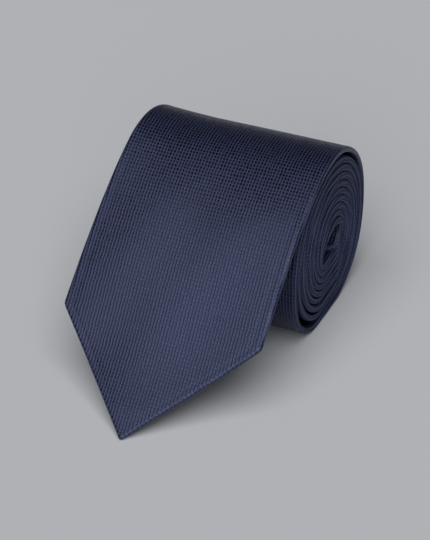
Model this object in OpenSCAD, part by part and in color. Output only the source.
// Necktie, rolled up from its narrow tail, with the pointed blade end draped
// down in front.  X runs along the axis of the roll, -Y points to the blade's
// tip, and Z = 0 is the table.  The origin is the middle of the footprint.
//
// One curve in the YZ plane, the middle of the tie's thickness, carries every
// piece.  A place on it is a distance from the blade's tip, in millimetres.

/* [Blade] */
// Width across the shoulders of the blade's point
blade_width = 85; // [75:1:105]
// From the roll's axis to the tip of the blade, measured on the table
blade_reach = 118; // [108:1:145]
// From the tip to the shoulders, measured on the table
tip_run = 41; // [34:1:50]
// Height of the shoulders over the table
shoulder_height = 28; // [22:1:34]
// Slope of the blade where it meets the table, in degrees
tip_slope = 26; // [16:1:34]
// Slope of the blade at its shoulders, in degrees
shoulder_slope = 40; // [34:1:46]
// Gap under the tip
tip_lift = 0.2; // [0.1:0.1:0.6]
// Folded hem behind the point
blade_hem = 12; // [8:1:18]
// From the line where the blade leaves the roll down to its bar tack
tack_below_bend = 18; // [10:1:30]
// Gap between the lining behind the point and the bar tack
lining_below_tack = 4; // [3:1:12]

/* [Neck and tail] */
// Length of the neck's outer fabric, between its two seams
neck_length = 366; // [300:1:420]
// Length of the tail's outer fabric, from its seam to its tip
tail_length = 337; // [280:1:400]
// Width of the neck
neck_width = 38; // [32:1:44]
// Width across the shoulders of the tail's point
tail_width = 44; // [38:1:50]
// Length of the tail's point
tail_tip_length = 24; // [18:1:30]
// Folded hem behind the tail's point
tail_hem = 8; // [6:1:12]
// From the tail's tip to its bar tack
tail_tack_at = 60; // [45:1:90]
// Length of the lining behind the tail's point
tail_lining_length = 54; // [35:1:80]

/* [Cloth] */
// Thickness of the outer fabric
fabric = 0.4; // [0.3:0.05:0.6]
// Thickness of the wool interlining
interlining = 1.2; // [0.8:0.1:1.6]
// Thickness of the lining behind the points
lining = 0.15; // [0.1:0.05:0.25]
// Play between one layer of cloth and the next
play = 0.05; // [0.05:0.05:0.1]
// Half the gap between the folded edges at the centre of the back
seam_half = 0.35; // [0.3:0.05:0.6]
// Thickness of the sewing thread
thread = 0.3; // [0.2:0.05:0.35]
// Gap that a cross seam leaves between two fabrics
cross_seam = 0.45; // [0.4:0.05:0.8]

/* [Back of the blade] */
// Length of the maker's label along the tie
label_length = 22; // [14:1:28]
// Width of the maker's label across the tie
label_width = 50; // [36:1:60]
// Width of the keeper loop's band, along the tie
keeper_band = 13; // [8:1:16]
// Length of the keeper loop across the tie
keeper_length = 54; // [40:1:62]
// Thickness of the keeper loop's folded band
keeper_thick = 0.55; // [0.4:0.05:0.6]
// Gap under the keeper loop, for the tail to pass through
keeper_gap = 0.15; // [0.1:0.05:0.2]
// Length of each sewn-down end of the keeper loop
keeper_foot = 6; // [4:1:8]
// Length of the care label along the tie
care_length = 12; // [8:1:15]
// Width of the care label across the tie
care_width = 24; // [16:1:30]

/* [Roll] */
// Number of turns under the blade
turns = 10; // [7:0.5:11]
// Gap between turns at the front
front_gap = 0.74; // [0.3:0.02:1.2]
// Gap between turns at the back
back_gap = 0.26; // [0.2:0.02:0.8]
// Gap between turns at the top
top_gap = 1.24; // [0.6:0.02:1.6]
// Gap between turns underneath
bottom_gap = 0.31; // [0.25:0.02:0.8]
// Extra room under the outer turn, in layers
outer_slack = 0.25; // [0.15:0.05:0.4]
// Length of the opening at the heart of the roll
core_length = 14; // [12:1:20]
// Height of the opening at the heart of the roll
core_height = 6; // [5:0.5:10]
// Tilt of the opening at the heart of the roll, in degrees
core_tilt = 25; // [0:1:35]
// Angle round the roll at which the blade leaves it, in degrees from the back
leave_angle = 110; // [100:1:120]
// Angle that the loose outer turn covers, in degrees
outer_turn_angle = 120; // [110:5:125]
// How much the roll's own weight flattens its underside
flat_sag = 1.2; // [0.8:0.1:2]
// How far the loose outer turns bulge out low at the front
front_bulge = 3.5; // [0:0.5:5]
// How far the turns' edges stand back from the blade's widest point
edge_inset = 1.6; // [0:0.1:4]
// Gap at each line where the tie bends as it unrolls
bend_gap = 0.4; // [0.3:0.05:0.6]

/* [Hidden] */

navy = [0.18, 0.20, 0.31];
deep_navy = [0.13, 0.15, 0.25];
felt = [0.80, 0.78, 0.72];
thread_blue = [0.24, 0.27, 0.42];

ring_step = 15;        // degrees between two rings of the roll
point_rings = 7;       // rings along the blade's point
drape_rings = 9;       // rings from the shoulders to the roll
nose_half = 1.2;       // half the width of a point's very tip
taper_start = 0.72;    // share of a turn after which it dips under the next
settle = 3;            // turns over which the roll becomes an even spiral
edge_run = 150;        // distance over which the edges line up
bulge_at = -132;       // angle round the roll of the bulge, from the back
bulge_spread = 30;     // how far round the roll the bulge reaches

// ---- thickness: levels measured outward from the middle of the tie
half = (2 * fabric + interlining + lining + 3 * play) / 2;
inner_face = half - fabric;
interlining_top = inner_face - play;
interlining_bottom = interlining_top - interlining;
lining_top = interlining_bottom - play;
lining_bottom = lining_top - lining;
on_back = -half - 0.01;

// ---- the spiral
layers = turns + outer_slack;
front_pitch = 2 * half + front_gap;
back_pitch = 2 * half + back_gap;
top_pitch = 2 * half + top_gap;
bottom_pitch = 2 * half + bottom_gap;
outer_a = core_length / 2 + half + layers * (front_pitch + back_pitch) / 2;
outer_b = core_height / 2 + half + layers * (top_pitch + bottom_pitch) / 2;
outer_z = outer_b + half - flat_sag;

function eased(t) = let (c = max(0, min(1, t))) c * c * (3 - 2 * c);

// Layers that lie outside the turn at u: it holds still over most of the first
// turn and then dips below it, and goes over to an even spiral further in.
function layers_in(u) =
    let (part = u - floor(u),
         held = part * (1 - eased((part - taper_start) / (1 - taper_start))))
    u - exp(-floor(u) / settle) * held
      + outer_slack * eased((u - taper_start) / (1 - taper_start));

// The lowest that the turn at winding angle w lies
function floor_level(w) =
    let (turn = max(0, round((w - leave_angle - 90) / 360)))
    half + bottom_pitch * layers_in(turn + (leave_angle + 90) / 360);

// How far the turn at winding angle w, with n layers outside it, bulges out
function bulge(w, n) =
    let (off = (leave_angle - w - bulge_at) / 360, away = 360 * (off - round(off)))
    front_bulge * exp(-n / 2.5) * exp(-pow(away / bulge_spread, 2));

// [y, z] of the tie's middle at winding angle w, from where the blade leaves
function wound(w) =
    let (n = layers_in(w / 360),
         out = bulge(w, n),
         round_at = leave_angle - w,
         a = outer_a - n * (front_pitch + back_pitch) / 2,
         b = outer_b - n * (top_pitch + bottom_pitch) / 2,
         cy = n * (front_pitch - back_pitch) / 2,
         cz = outer_z - n * (top_pitch - bottom_pitch) / 2,
         tilt = core_tilt * n / layers,
         y = a * cos(round_at - tilt),
         z = b * sin(round_at - tilt))
    [cy + y * cos(tilt) - z * sin(tilt) + out * cos(round_at),
     max(cz + y * sin(tilt) + z * cos(tilt) + out * sin(round_at), floor_level(w))];

// ---- the draped blade: two curves that meet at the shoulders
leave_point = wound(0);
leave_slope = atan2(leave_point[1] - wound(1)[1], leave_point[0] - wound(1)[0]) + 180;
tip_point = [-blade_reach, half * cos(tip_slope) + tip_lift];
shoulder_point = [tip_run - blade_reach, shoulder_height];

function toward(slope) = [cos(slope), sin(slope)];
function curve(p, sp, q, sq, t) =
    let (reach = norm(q - p) / 3, c1 = p + reach * toward(sp), c2 = q - reach * toward(sq))
    pow(1 - t, 3) * p + 3 * t * pow(1 - t, 2) * c1 + 3 * t * t * (1 - t) * c2 + pow(t, 3) * q;

point_path = [for (i = [0:point_rings - 1])
    curve(tip_point, tip_slope, shoulder_point, shoulder_slope, i / point_rings)];
drape_path = [for (i = [0:drape_rings - 1])
    curve(shoulder_point, shoulder_slope, leave_point, leave_slope, i / drape_rings)];
roll_path = [for (w = [0:ring_step:turns * 360]) wound(w)];
path = concat(point_path, drape_path, roll_path);
last = len(path) - 1;

// Running total of a list
function totals(v) = [for (i = 0, sum = 0; i <= len(v);
                           sum = i < len(v) ? sum + v[i] : sum, i = i + 1) sum];
along = totals([for (i = [0:last - 1]) norm(path[i + 1] - path[i])]);
total_length = along[last];
shoulder_at = along[point_rings];
leave_at = along[point_rings + drape_rings];
outer_turn_end = along[point_rings + drape_rings + round(outer_turn_angle / ring_step)];
tail_at = total_length - tail_length;
neck_at = tail_at - neck_length;
tail_shoulder_at = total_length - tail_tip_length;
tail_tack = total_length - tail_tack_at;
blade_tack_at = leave_at - tack_below_bend;
outer_turn_start = leave_at + bend_gap / 2;
blade_end_stop = leave_at - bend_gap / 2;
outer_turn_stop = outer_turn_end - bend_gap / 2;
wound_start = outer_turn_end + bend_gap / 2;

// The labels and the keeper loop share the outer turn's back with even gaps
spacing = (outer_turn_stop - outer_turn_start - label_length - keeper_band - care_length) / 4;
label_at = outer_turn_start + spacing;
keeper_at = label_at + label_length + spacing;
care_at = keeper_at + keeper_band + spacing;

// Outward normal at ring i; a ring pressed flat on the table points straight down
function pressed(i) = i > point_rings + drape_rings
    && path[i][1] == floor_level((i - point_rings - drape_rings) * ring_step);
function normal(i) =
    let (d = path[min(last, i + 1)] - path[max(0, i - 1)])
    pressed(i) ? [0, -1] : [-d[1], d[0]] / norm(d);
normals = [for (i = [0:last]) normal(i)];

// Centre the footprint on the origin
edge_ys = [for (i = [0:last], side = [-half, half]) path[i][0] + side * normals[i][0]];
y_shift = -(min(edge_ys) + max(edge_ys)) / 2;

// Index of the stretch of path that holds distance d
function stretch(d) = max(0, min(last - 1, len([for (v = along) if (v <= d) v]) - 1));
// [middle, outward normal] at distance d
function frame_at(d) =
    let (i = stretch(d), t = (d - along[i]) / (along[i + 1] - along[i]))
    [path[i] + t * (path[i + 1] - path[i]), normals[i] + t * (normals[i + 1] - normals[i])];

// ---- widths
function mix(a, b, t) = a + (b - a) * eased(t);
function full_half(d) =
    (d < neck_at ? mix(blade_width, neck_width, (d - shoulder_at) / (neck_at - shoulder_at))
                 : mix(neck_width, tail_width, (d - tail_at) / (tail_shoulder_at - tail_at))) / 2;
function half_width(d) =
    d < shoulder_at ? nose_half + (blade_width / 2 - nose_half) * d / shoulder_at :
    d < tail_shoulder_at ? full_half(d) :
    nose_half + (tail_width / 2 - nose_half) * (total_length - d) / tail_tip_length;
function middle_x(d) =
    blade_width / 2 - edge_inset * eased((d - shoulder_at) / edge_run) - full_half(d);

// Half the opening between the folded edges: a V behind each point
function opening(d) = max(seam_half,
    d < shoulder_at ? half_width(d) - blade_hem :
    d < blade_tack_at ? (blade_width / 2 - blade_hem) * (blade_tack_at - d)
                        / (blade_tack_at - shoulder_at) :
    d < tail_tack ? 0 :
    d < tail_shoulder_at ? (tail_width / 2 - tail_hem) * (d - tail_tack)
                           / (tail_shoulder_at - tail_tack) :
    half_width(d) - tail_hem);

// Distances where a width or the opening changes its rule
function where_point_is(half_w, full, length) = length * (half_w - nose_half) / (full / 2 - nose_half);
blade_open_at = where_point_is(blade_hem + seam_half, blade_width, shoulder_at);
tail_open_at = total_length - where_point_is(tail_hem + seam_half, tail_width, tail_tip_length);
blade_shut_at = blade_tack_at - seam_half * (blade_tack_at - shoulder_at)
                                / (blade_width / 2 - blade_hem);
tail_shut_at = tail_tack + seam_half * (tail_shoulder_at - tail_tack)
                           / (tail_width / 2 - tail_hem);
marks = [blade_open_at, blade_shut_at, tail_shut_at, tail_shoulder_at, tail_open_at];

function sorted(v) = len(v) < 2 ? v :
    let (pivot = v[floor(len(v) / 2)])
    concat(sorted([for (x = v) if (x < pivot) x]), [pivot],
           sorted([for (x = v) if (x > pivot) x]));
stations = sorted(concat(along, marks));
// Every ring from d0 to d1
function stops(d0, d1) =
    concat([d0], [for (d = stations) if (d > d0 + 0.1 && d < d1 - 0.1) d], [d1]);

// A point of the tie: x across from its middle line, n outward from its middle
function place(d, x, n) =
    let (f = frame_at(d))
    [middle_x(d) + x, f[0][0] + n * f[1][0] + y_shift, f[0][1] + n * f[1][1]];

// ---- sweeping a section along the tie
module sweep(rings, start_caps) {
    n = len(rings[0]);
    ends = len(rings) - 1;
    sides = [for (i = [0:ends - 1], j = [0:n - 1], half_quad = [0, 1])
        let (a = i * n + j, b = a + n, c = i * n + (j + 1) % n, d = c + n)
        half_quad == 0 ? [a, b, d] : [a, d, c]];
    end_caps = [for (cap = start_caps)
        [for (k = [len(cap) - 1:-1:0]) cap[k] + ends * n]];
    polyhedron(points = [for (ring = rings, p = ring) p],
               faces = concat(start_caps, sides, end_caps));
}

// A flat strip from d0 to d1, between x0 and x1 and between levels n0 and n1
module strip(d0, d1, x0, x1, n0, n1) {
    rings = [for (d = stops(d0, d1))
        [place(d, x0(d), n0), place(d, x0(d), n1), place(d, x1(d), n1), place(d, x1(d), n0)]];
    sweep(rings, [[0, 1, 2, 3]]);
}

// A patch with straight sides
module patch(d0, d1, x0, x1, n0, n1) {
    strip(d0, d1, function (d) x0, function (d) x1, n0, n1);
}

// The outer fabric, folded round to meet at the centre of the back
module shell(d0, d1) {
    rings = [for (d = stops(d0, d1))
        let (w = half_width(d), g = opening(d),
             outer = [[-g, -half], [-w, -half], [-w, half], [w, half], [w, -half], [g, -half]],
             v = w - fabric, m = inner_face,
             inner = [[g, -m], [v, -m], [v, m], [-v, m], [-v, -m], [-g, -m]])
        [for (p = concat(outer, inner)) place(d, p[0], p[1])]];
    sweep(rings, [for (q = [0:4]) [q, q + 1, 10 - q, 11 - q]]);
}

// A layer of cloth inside the shell, clear of its side folds
module inner_cloth(d0, d1, side_play, n0, n1) {
    strip(d0, d1, function (d) -(half_width(d) - fabric - side_play),
          function (d) half_width(d) - fabric - side_play, n0, n1);
}

module interlining_piece(d0, d1) inner_cloth(d0, d1, 0.15, interlining_bottom, interlining_top);

// The long loose stitch between the folded edges
module slip_stitch(d0, d1)
    patch(d0, d1, 0.1 - seam_half, seam_half - 0.1, play - half, play + thread - half);

// The stitches that hold a lining to the edge of its hem, on both sides
module lining_stitches(d0, d1) {
    inset = 0.1;
    for (side = [-1, 1])
        strip(d0, d1,
              function (d) side * (opening(d) - inset) - (side > 0 ? thread : 0),
              function (d) side * (opening(d) - inset) + (side < 0 ? thread : 0),
              play - half, play + thread - half);
}

module bar_tack(d, width, height)
    patch(d - 1.2, d + 1.2, -width / 2, width / 2, on_back - height, on_back);

interlining_start = 3;
interlining_stop = total_length - 3;

// ---- the blade end
module blade_shell_end() color(navy) shell(0, blade_end_stop);
module interlining_end() color(felt) interlining_piece(interlining_start, blade_end_stop);
module slip_stitch_end() color(thread_blue) slip_stitch(blade_tack_at + 2, blade_end_stop);
module blade_lining()
    color(deep_navy) inner_cloth(4, blade_tack_at - lining_below_tack, 0.3,
                                 lining_bottom, lining_top);
module blade_lining_stitches()
    color(thread_blue) lining_stitches(blade_open_at + 1.5, blade_tack_at - 3);
module blade_bar_tack() color(thread_blue) bar_tack(blade_tack_at, 8, 0.35);

// ---- the outer turn
module blade_shell_outer_turn() color(navy) shell(outer_turn_start, outer_turn_stop);
module interlining_outer_turn()
    color(felt) interlining_piece(outer_turn_start, outer_turn_stop);
module slip_stitch_outer_turn()
    color(thread_blue) slip_stitch(outer_turn_start, outer_turn_stop);

label_thick = 0.25;
module maker_label()
    color(deep_navy) patch(label_at, label_at + label_length, -label_width / 2,
                           label_width / 2, on_back - label_thick, on_back);
module care_label()
    color("white") patch(care_at, care_at + care_length, 2, 2 + care_width,
                         on_back - label_thick, on_back);

// Tacks over the label's four corners and the care label's inner edge
module label_stitches() {
    top = on_back - label_thick - 0.01;
    inset = 2;
    tack = 3;
    color(thread_blue) {
        for (side = [-1, 1], d = [label_at + 1, label_at + label_length - 1 - tack])
            let (x = side * (label_width / 2 - inset))
            patch(d, d + tack, x - thread / 2, x + thread / 2, top - thread, top);
        patch(care_at + 1, care_at + care_length - 1, 2.5, 2.5 + thread, top - thread, top);
    }
}

// A folded band, sewn down at both ends and free of the back between them
module keeper_loop() {
    e = keeper_length / 2;
    f = e - keeper_foot;
    gap = on_back - keeper_gap;
    low = gap - keeper_thick;
    profile = [[-e, low], [-e, on_back], [-f, on_back], [-f, gap],
               [f, gap], [f, on_back], [e, on_back], [e, low]];
    rings = [for (d = stops(keeper_at, keeper_at + keeper_band))
        [for (p = profile) place(d, p[0], p[1])]];
    color(navy) sweep(rings, [[0, 1, 2, 3], [0, 3, 4, 7], [4, 5, 6, 7]]);
}

module keeper_loop_stitches() {
    low = on_back - keeper_gap - keeper_thick - 0.01;
    color(thread_blue)
        for (side = [-1, 1])
            let (x = side * (keeper_length - keeper_foot) / 2)
            patch(keeper_at + 1, keeper_at + keeper_band - 1, x - thread / 2,
                  x + thread / 2, low - thread / 2, low);
}

// ---- the wound turns
module blade_shell_wound() color(navy) shell(wound_start, neck_at - cross_seam / 2);
module neck_shell() color(navy) shell(neck_at + cross_seam / 2, tail_at - cross_seam / 2);
module tail_shell() color(navy) shell(tail_at + cross_seam / 2, total_length);
module interlining_wound() color(felt) interlining_piece(wound_start, interlining_stop);
module slip_stitch_wound() color(thread_blue) slip_stitch(wound_start, tail_tack - 2);

// The thread of a seam across the tie, in the gap between two shells
module cross_seam_thread(d) {
    reach = cross_seam / 2 - 0.1;
    color(thread_blue) shell(d - reach, d + reach);
}
module blade_neck_seam() cross_seam_thread(neck_at);
module neck_tail_seam() cross_seam_thread(tail_at);

module tail_lining()
    color(deep_navy) inner_cloth(total_length - tail_lining_length, total_length - 4, 0.3,
                                 lining_bottom, lining_top);
module tail_lining_stitches()
    color(thread_blue) lining_stitches(tail_tack + 3, tail_open_at - 1.5);
module tail_bar_tack() color(thread_blue) bar_tack(tail_tack, 6, 0.15);

blade_shell_end();
interlining_end();
slip_stitch_end();
blade_lining();
blade_lining_stitches();
blade_bar_tack();
blade_shell_outer_turn();
interlining_outer_turn();
slip_stitch_outer_turn();
maker_label();
care_label();
label_stitches();
keeper_loop();
keeper_loop_stitches();
blade_shell_wound();
neck_shell();
tail_shell();
interlining_wound();
slip_stitch_wound();
blade_neck_seam();
neck_tail_seam();
tail_lining();
tail_lining_stitches();
tail_bar_tack();
